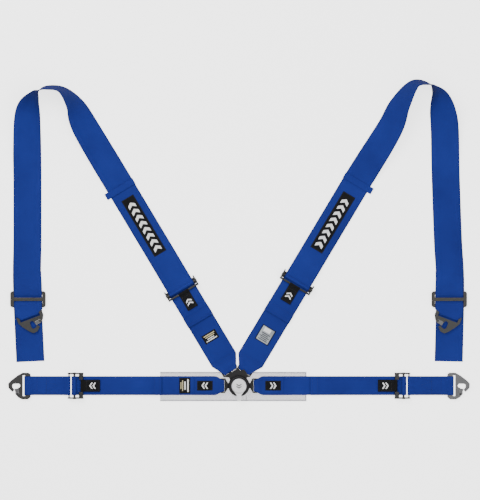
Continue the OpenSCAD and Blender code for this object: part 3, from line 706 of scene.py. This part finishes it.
def upper_strap(side):
    """The whole upper shoulder strap: hem, tail, front run, turn and free end."""
    matrix = strap_frame(side, "shoulder")
    low, high = span(f"{side}_front_run", matrix)
    bar = middle(f"{side}_shoulder_lock_bar", matrix)
    y = (low.y + high.y) / 2
    half = (high.y - low.y) / 2
    straight_end = high.x - 0.06
    front = eased([(low.x, TAIL_Z), (bar.x - 0.066, TAIL_Z), (bar.x - 0.053, LEVEL_Z),
                   (bar.x - 0.047, LEVEL_Z), (bar.x + 0.048, LEVEL_Z), (bar.x + 0.055, LEVEL_Z),
                   (bar.x + 0.078, WEB_MID), (straight_end, WEB_MID)])
    front = resampled(front, 0.008)
    centres = [matrix @ Vector((p[0], y, p[1])) for p in front]
    across = matrix.to_3x3() @ Vector((0, 1, 0))
    acrosses = [across] * len(front)
    slope = Matrix.Rotation(SHOULDER_ANGLE, 4, "Z")
    start = slope @ Vector((high.x, y, 0))
    before = slope @ Vector((straight_end, y, 0))
    stations = [(before.x, before.y, 0), (start.x, start.y, 0)] + REAR_RUN[side]
    course = spline(stations, 10)
    flip = mirrored(side).to_3x3()
    for i, here in enumerate(course):
        ahead = course[min(i + 1, len(course) - 1)] - course[max(i - 1, 0)]
        along = Vector((ahead.x, ahead.y, 0)).normalized()
        roll = math.radians(min(180, max(0, here.z)))
        sideways = Vector((-along.y, along.x, 0)) * math.cos(roll) - UP * math.sin(roll)
        z = WEB_MID - WEB_T / 2 + WEB_T / 2 * abs(math.cos(roll)) + half * math.sin(roll)
        centres.append(flip @ Vector((here.x, here.y, z)))
        acrosses.append(flip @ sideways)
    least_step = 0.0008
    keep = [0] + [i for i in range(1, len(centres)) if (centres[i] - centres[i - 1]).length > least_step]
    strap = ribbon(f"{side}_upper_webbing", [centres[i] for i in keep], [acrosses[i] for i in keep],
                   [half] * len(keep), MATERIALS["blue"])
    body = f"{side}_upper_belt"
    fit(strap, body, [f"{side}_front_run", f"{side}_rear_run"])
    # The tail's hem: the end is folded back on itself and sewn down
    hem_z = TAIL_Z + WEB_T
    fold = arc(low.x + 0.0012, (TAIL_Z + hem_z) / 2, WEB_T / 2, 240, 100, 6)
    fold.append((low.x + 0.027, hem_z))
    hem = band(f"{side}_tail_hem", matrix, fold, half + 0.0006, MATERIALS["blue"], y)
    fit(hem, body)
    edge = half - 0.003
    z = hem_z + WEB_T / 2
    rows = [((x, y - edge, z), (x, y + edge, z)) for x in (low.x + 0.006, low.x + 0.0235)]
    sew(f"{side}_hem_stitching", matrix, rows, "blue_thread", body)


def bar_fold(name, matrix, path, half, y, body):
    """Thinly drawn webbing folded round a lock bar."""
    thick, step = 0.0016, 0.003
    piece = band(name, matrix, eased(path, 1), half, MATERIALS["blue"], y, thick, step)
    fit(piece, body)


def shoulder_fold(side):
    """Webbing brought up round the lock bar."""
    matrix = strap_frame(side, "shoulder")
    bar = middle(f"{side}_shoulder_lock_bar", matrix)
    path = [(bar.x - FOLD_R + 0.0004, LEVEL_Z), (bar.x - FOLD_R, bar.z - 0.002)]
    path += arc(bar.x, bar.z, FOLD_R, 180, 25, 14)
    path += [(bar.x + 0.0062, bar.z - 0.0012), (bar.x + 0.0105, LEVEL_Z + 0.0022),
             (bar.x + 0.018, LEVEL_Z + 0.0006), (bar.x + 0.027, LEVEL_Z - 0.0003)]
    bar_fold(f"{side}_lock_bar_fold", matrix, path, 0.0374, bar.y, f"{side}_shoulder_bar")


def lap_fold(side):
    """The lap webbing from its strap up round the lock bar and down to its tail."""
    matrix = strap_frame(side, "lap")
    bar = middle(f"{side}_lap_lock_bar", matrix)
    path = [(bar.x - 0.024, 0.0020), (bar.x - 0.006, 0.0022), (bar.x + 0.0048, 0.0032),
            (bar.x + 0.0070, 0.006), (bar.x + 0.0070, bar.z - 0.001), (bar.x + 0.0054, bar.z + 0.0025)]
    path += arc(bar.x, bar.z, FOLD_R, 50, 180, 12)
    path += [(bar.x - 0.0052, bar.z - 0.003), (bar.x - 0.0105, 0.0056), (bar.x - 0.024, 0.0045)]
    bar_fold(f"{side}_lap_lock_bar_fold", matrix, path, 0.0252, 0, f"{side}_lap_bar")


def lap_tail(side):
    """Free end of the lap webbing with its folded hem."""
    matrix = strap_frame(side, "lap")
    low, high = span(f"{side}_lap_tail", matrix)
    z = (low.z + high.z) / 2
    half = (high.y - low.y) / 2
    # The free end lies a little higher, so that it clears the label it slides over
    end_z = z + 0.0010
    path = [(low.x + 0.022, end_z + WEB_T)]
    path += arc(low.x + 0.0012, end_z + WEB_T / 2, WEB_T / 2, 100, 250, 6)
    path += [(low.x + 0.006, end_z), (low.x + 0.036, end_z), (low.x + 0.050, z), (high.x, z)]
    tail = band(f"{side}_lap_tail_webbing", matrix, path, half, MATERIALS["blue"])
    fit(tail, None, [f"{side}_lap_tail"])
    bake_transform(tail)
    top = end_z + 1.5 * WEB_T
    edge = half - 0.003
    rows = [((x, -edge, top), (x, edge, top)) for x in (low.x + 0.005, low.x + 0.0185)]
    sew(f"{side}_lap_hem_stitching", matrix, rows, "blue_thread", f"{side}_lap_tail_end")


def anchor_strap(side):
    """Short lap strap: a sewn loop round the adjuster's outer bar and the hook's rear bar."""
    matrix = strap_frame(side, "lap")
    anchor_low, anchor_high = span(f"{side}_lap_anchor_strap", matrix)
    wrap_high = span(f"{side}_lap_hook_wrap", matrix)[1]
    bar_x, bar_z, bar_r = anchor_low.x + 0.0039, 0.0052, 0.003
    hook_x = wrap_high.x - HOOK_FOLD_R - WEB_T / 2
    hook_z = wrap_high.z - HOOK_FOLD_R - WEB_T / 2
    bend_x = anchor_high.x
    half = (anchor_high.y - anchor_low.y) / 2
    back_z = WEB_MID + WEB_T
    path = [(bar_x + 0.06, WEB_MID), (bar_x + 0.012, WEB_MID)]
    path += arc(bar_x, bar_z, bar_r, 270, 90, 12)
    path += [(bar_x + 0.006, bar_z + 0.0026), (bar_x + 0.02, back_z), (bend_x - 0.004, back_z),
             (bend_x + 0.003, back_z + 0.0007), (bend_x + 0.010, hook_z + HOOK_FOLD_R - 0.001)]
    path += arc(hook_x, hook_z, HOOK_FOLD_R, 90, -90, 12)
    path += [(bar_x + 0.055, WEB_MID)]
    strap = band(f"{side}_anchor_webbing", matrix, eased(path, 1), half, MATERIALS["blue"])
    fit(strap, None, [f"{side}_lap_anchor_strap", f"{side}_lap_hook_wrap"])
    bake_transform(strap)
    edge = half - 0.004
    rows = zigzag_rows(bar_x + 0.026, bar_x + 0.062, -edge, edge, DOUBLED_TOP, 4)
    rows += frame_rows(bend_x - 0.034, bend_x - 0.008, -edge, edge, DOUBLED_TOP)
    sew(f"{side}_anchor_stitching", matrix, rows, "blue_thread", f"{side}_lap_adjuster_set")


def slide_webbing(side):
    """Webbing woven through the slide, gathered to the hook, folded round its bar and brought back."""
    flip = mirrored(side)
    slide = middle(f"{side}_slide", flip)
    low, high = span(f"{side}_slide_loop", flip)
    half = (high.x - low.x) / 2
    turn = -math.pi / 2 - HOOK_SKEW
    reach = Vector((math.cos(turn), math.sin(turn), 0))
    hook_y = {"left": 0.1835, "right": 0.1828}[side]
    bar = Vector((0.5636, hook_y, 0)) - reach * 0.005
    top, under, back_z = 0.0106, 0.0052, 0.0042
    bar_z, neck = 0.0074, 0.027
    strap_dir = Vector((0, -1, 0))
    rear = REAR_RUN[side]
    step, turn_steps = 0.004, 14

    def strap_x(y):
        """Where the strap below runs, at one height in the layout."""
        for (xa, ya, _), (xb, yb, _) in zip(rear, rear[1:]):
            if yb <= y <= ya:
                return xa + (xb - xa) * (ya - y) / (ya - yb)
        return rear[-1][0]

    def station(x, z):
        y = slide.y - x
        on_slide = smoothstep((x + 0.075) / 0.05)
        return Vector((strap_x(y) + (slide.x - strap_x(y)) * on_slide, y, z)), Vector((1, 0, 0)), half

    weave_path = [(-0.075, 0.0019), (-0.06, 0.0024), (-0.043, 0.0056), (-0.03, top), (-0.012, top),
                  (-0.0065, under), (0.0065, under), (0.0115, top), (0.020, top)]
    stations = [station(*p) for p in resampled(eased(weave_path, 2), step)]
    start, end = Vector((slide.x, slide.y - 0.020, 0)), bar

    def gathered(t, z):
        t_s = smoothstep(t)
        centre = start.lerp(end, t)
        heading = strap_dir.lerp(reach, t_s).normalized()
        across = Vector((-heading.y, heading.x, 0))
        pinch = smoothstep((t - 0.62) / 0.38)
        return Vector((centre.x, centre.y, z)), across, half + (neck - half) * pinch

    stations += [gathered(i / turn_steps, top) for i in range(1, turn_steps + 1)]
    for x, z in arc(0, bar_z, HOOK_FOLD_R, 90, -90, 10)[1:]:
        spot = bar + reach * x
        stations.append((Vector((spot.x, spot.y, z)), Vector((-reach.y, reach.x, 0)), neck))
    stations += [gathered(1 - i / turn_steps, back_z) for i in range(1, turn_steps + 1)]
    return_path = [(0.012, back_z), (0.0, back_z), (-0.008, back_z + 0.0004)]
    stations += [station(*p) for p in resampled(eased(return_path, 1), step)]
    centres = [flip @ s[0] for s in stations]
    acrosses = [flip.to_3x3() @ s[1] for s in stations]
    piece = ribbon(f"{side}_slide_webbing", centres, acrosses, [s[2] for s in stations], MATERIALS["blue"])
    fit(piece, None, [f"{side}_slide_loop", f"{side}_shoulder_hook_wrap"])
    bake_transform(piece)


def keeper_band(side):
    """Elastic keeper: a flat loop round the strap, loose on its outer side."""
    matrix = strap_frame(side, "shoulder")
    low, high = span(f"{side}_keeper", matrix)
    thick = 0.0009
    inset = thick / 2
    corner = 0.0016
    outline = rectangle(low.y + inset, high.y - inset, low.z + inset, high.z - inset, corner, 6)
    turn = matrix @ Matrix.Translation(((low.x + high.x) / 2, 0, 0)) @ Matrix.Rotation(math.pi / 2, 4, "Z")
    path = outline + outline[:2]
    piece = band(f"{side}_keeper_band", turn, path, (high.x - low.x) / 2, MATERIALS["blue"], 0, thick, 0.004)
    fit(piece, f"{side}_keeper_band", [f"{side}_keeper"])


def pull_tab(side, kind):
    """Black webbing folded round the tab rod, sewn flat, with a plain mark."""
    matrix = strap_frame(side, kind)
    node = f"{side}_{kind}_pull_tab"
    low, high = span(node, matrix)
    eye_r = 0.0029
    eye_x, eye_z = high.x - 0.0035, (high.z + low.z) / 2
    half, y = (high.y - low.y) / 2, (high.y + low.y) / 2
    z = low.z + 0.0005
    path = [(eye_x - 0.012, z + 0.0011), (eye_x - 0.005, z + 0.0014)]
    path += arc(eye_x, eye_z, eye_r, 135, -90, 14) + [(eye_x - 0.008, z), (low.x, z)]
    path = [(low.x + 0.001, z + 0.0011)] + path
    piece = band(node + "_webbing", matrix, path, half, MATERIALS["black"], y, 0.001, 0.004)
    body = f"{side}_{kind}_tab"
    fit(piece, body, [node])
    top = z + 0.0017
    rows = frame_rows(low.x + 0.003, eye_x - 0.012, y - half + 0.003, y + half - 0.003, top)
    sew(node + "_stitching", matrix, rows, "black_thread", body)
    raise_marks(node + "_mark", matrix, plain_mark(low.x + 0.011, y), top - 0.0002, 0.0005, "white", body)


def plain_mark(x, y):
    """Two chevrons in a row, pointing away from the buckle."""
    length, half, depth, pitch = 0.0042, 0.0085, 0.0055, 0.0085
    return chevron(x, y, length, half, depth) + chevron(x + pitch, y, length, half, depth)


def patch(name, matrix, x0, x1, y0, y1, z, body):
    """A flat black label with a stitched edge, sewn on at height z."""
    thick, inset = 0.0008, 0.0016
    path = [(x0, z + thick / 2), (x1, z + thick / 2)]
    piece = band(name, matrix, path, (y1 - y0) / 2, MATERIALS["black"], (y0 + y1) / 2, thick)
    rows = frame_rows(x0 + inset, x1 - inset, y0 + inset, y1 - inset, z + thick)
    sew(name + "_stitching", matrix, rows, "black_thread", body)
    return fit(piece, body)


def big_label(side):
    """Long black label with a row of plain chevrons."""
    matrix = strap_frame(side, "shoulder")
    low, high = span(f"{side}_label", matrix)
    body = f"{side}_upper_belt"
    name = f"{side}_long_label"
    piece = patch(name, matrix, low.x, high.x, low.y, high.y, FLAT_TOP, body)
    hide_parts(f"{side}_label")
    y = (low.y + high.y) / 2
    count, margin, half, depth = 8, 0.009, 0.0105, 0.0075
    pitch = (high.x - low.x - 0.022) / count
    marks = []
    for i in range(count):
        marks += chevron(low.x + margin + i * pitch, y, pitch * 0.5, half, depth)
    raise_marks(name + "_marks", matrix, marks, FLAT_TOP + PRINT_LIFT, 0.0006, "white", body)


def lap_patch(side, body):
    """Small black patch on the sewn end of each lap strap."""
    matrix = strap_frame(side, "lap")
    x0, x1, half = 0.071, 0.113, 0.013
    name = f"{side}_lap_patch"
    patch(name, matrix, x0, x1, -half, half, DOUBLED_TOP, body)
    marks = plain_mark((x0 + x1) / 2 - 0.009, 0)
    raise_marks(name + "_mark", matrix, marks, DOUBLED_TOP + PRINT_LIFT, 0.0005, "white", body)


def bars(x0, x1, y, half, lengths):
    """Plain bars across a label, one for each share of its half width."""
    out = []
    pitch = (x1 - x0) / len(lengths)
    for i, share in enumerate(lengths):
        start = x0 + pitch * (i + 0.22)
        out.append(rectangle(start, start + pitch * 0.5, y - half * share, y + half * share))
    return out


def barred_label(name, matrix, y, ends, bar_groups, body):
    """A small black label with groups of white and straw bars. A group is x0, x1 and its bars' lengths."""
    half = 0.021
    bar_half = 0.018
    patch(name, matrix, *ends, y - half, y + half, FLAT_TOP, body)
    for part, look, x0, x1, lengths in bar_groups:
        outlines = bars(x0, x1, y, bar_half, lengths)
        raise_marks(f"{name}_{part}", matrix, outlines, FLAT_TOP + PRINT_LIFT, PRINT_T, look, body)


def panel_label():
    """The right shoulder's label: a silver panel with a white box and dark bars on it."""
    matrix = strap_frame("right", "shoulder")
    y = middle("right_lower_strap", matrix).y
    name, body = "right_shoulder_small_label", "right_lower_belt"
    z = FLAT_TOP + PRINT_LIFT
    line_z, line_t = z + 0.0003, 0.0003
    patch(name, matrix, 0.1315, 0.1765, y - 0.020, y + 0.020, FLAT_TOP, body)
    panel = [rectangle(0.1335, 0.1745, y - 0.0175, y + 0.0175, 0.001)]
    raise_marks(name + "_panel", matrix, panel, z, PRINT_T, "silver_print", body)
    box = [rectangle(0.1615, 0.1725, y - 0.0085, y + 0.0115)]
    raise_marks(name + "_box", matrix, box, line_z, line_t, "white", body)
    lines = bars(0.136, 0.159, y, 0.015, [0.9, 0.7, 0.95, 0.6, 0.85])
    raise_marks(name + "_lines", matrix, lines, line_z, line_t, "black_thread", body)


def small_labels():
    """Plain sewn labels near the buckle, with bars in place of any print."""
    lap = strap_frame("left", "lap")
    lap_bars = [("bars", "white", 0.134, 0.150, [0.95, 0.6]), ("lines", "straw", 0.150, 0.159, [0.8, 0.5])]
    barred_label("left_lap_small_label", lap, 0, (0.1315, 0.161), lap_bars, "left_lap_belt")
    left = strap_frame("left", "shoulder")
    y = middle("left_lower_strap", left).y
    left_bars = [("bars", "white", 0.143, 0.153, [0.9, 0.55]), ("lines", "straw", 0.1535, 0.163, [0.75, 0.9])]
    barred_label("left_shoulder_small_label", left, y, (0.1405, 0.1655), left_bars, "left_lower_belt")
    panel_label()


# ---- stage, camera and light ----


def stage():
    """A plain pale floor with a soft glow of its own, just under the harness."""
    mat, shader = new_material("floor", 0.95, Specular_IOR_Level=0.05, Emission_Strength=2.2)
    shader.inputs["Emission Color"].default_value = (1, 1, 1, 1)
    pale = blend_colours(mat, noise(mat, 3.0), (0.86, 0.86, 0.86), (0.88, 0.88, 0.88))
    mat.node_tree.links.new(pale, shader.inputs["Base Color"])
    size, drop = 6.0, 0.0002
    corners = [(-size, -size, 0), (size, -size, 0), (size, size, 0), (-size, size, 0)]
    floor = new_object("floor", corners, [(0, 1, 2, 3)], mat)
    floor.location.z = -drop
    floor.visible_diffuse = False
    floor.visible_glossy = False


def area_light(name, where, target, size, power):
    data = bpy.data.lights.new(name, "AREA")
    data.shape = "SQUARE"
    data.size = size
    data.energy = power
    lamp = bpy.data.objects.new(name, data)
    bpy.context.scene.collection.objects.link(lamp)
    lamp.location = where
    lamp.rotation_euler = (Vector(target) - Vector(where)).to_track_quat("-Z", "Y").to_euler()


def camera_and_light():
    field, distance = 1.35, 6.0
    centre = Vector((0.0027, 0.366, 0))
    data = bpy.data.cameras.new("camera")
    data.sensor_width = 36
    data.lens = data.sensor_width / 2 * distance / (field / 2)
    camera = bpy.data.objects.new("camera", data)
    bpy.context.scene.collection.objects.link(camera)
    camera.location = centre + UP * distance
    bpy.context.scene.camera = camera
    area_light("key", (-1.2, 1.9, 2.2), centre, 1.6, 62)
    area_light("fill", (1.6, -0.6, 2.4), centre, 2.4, 34)
    area_light("top", (0.0, 0.4, 3.0), centre, 2.6, 40)
    world = bpy.data.worlds.new("world")
    bpy.context.scene.world = world
    world.use_nodes = True
    sky = world.node_tree.nodes["Background"]
    sky.inputs["Color"].default_value = (1, 1, 1, 1)
    sky.inputs["Strength"].default_value = 0.6


camera_and_light()
stage()
hard_pieces()
latch_springs()
handle_mark()
backing_film()
for side in SIDES:
    belt = "left_lap_belt" if side == "left" else "buckle"
    sewn_end(side, "lap", belt)
    sewn_end(side, "shoulder", f"{side}_lower_belt")
    upper_strap(side)
    shoulder_fold(side)
    lap_fold(side)
    lap_tail(side)
    anchor_strap(side)
    slide_webbing(side)
    keeper_band(side)
    big_label(side)
    lap_patch(side, belt)
    for kind in ("lap", "shoulder"):
        pull_tab(side, kind)
small_labels()
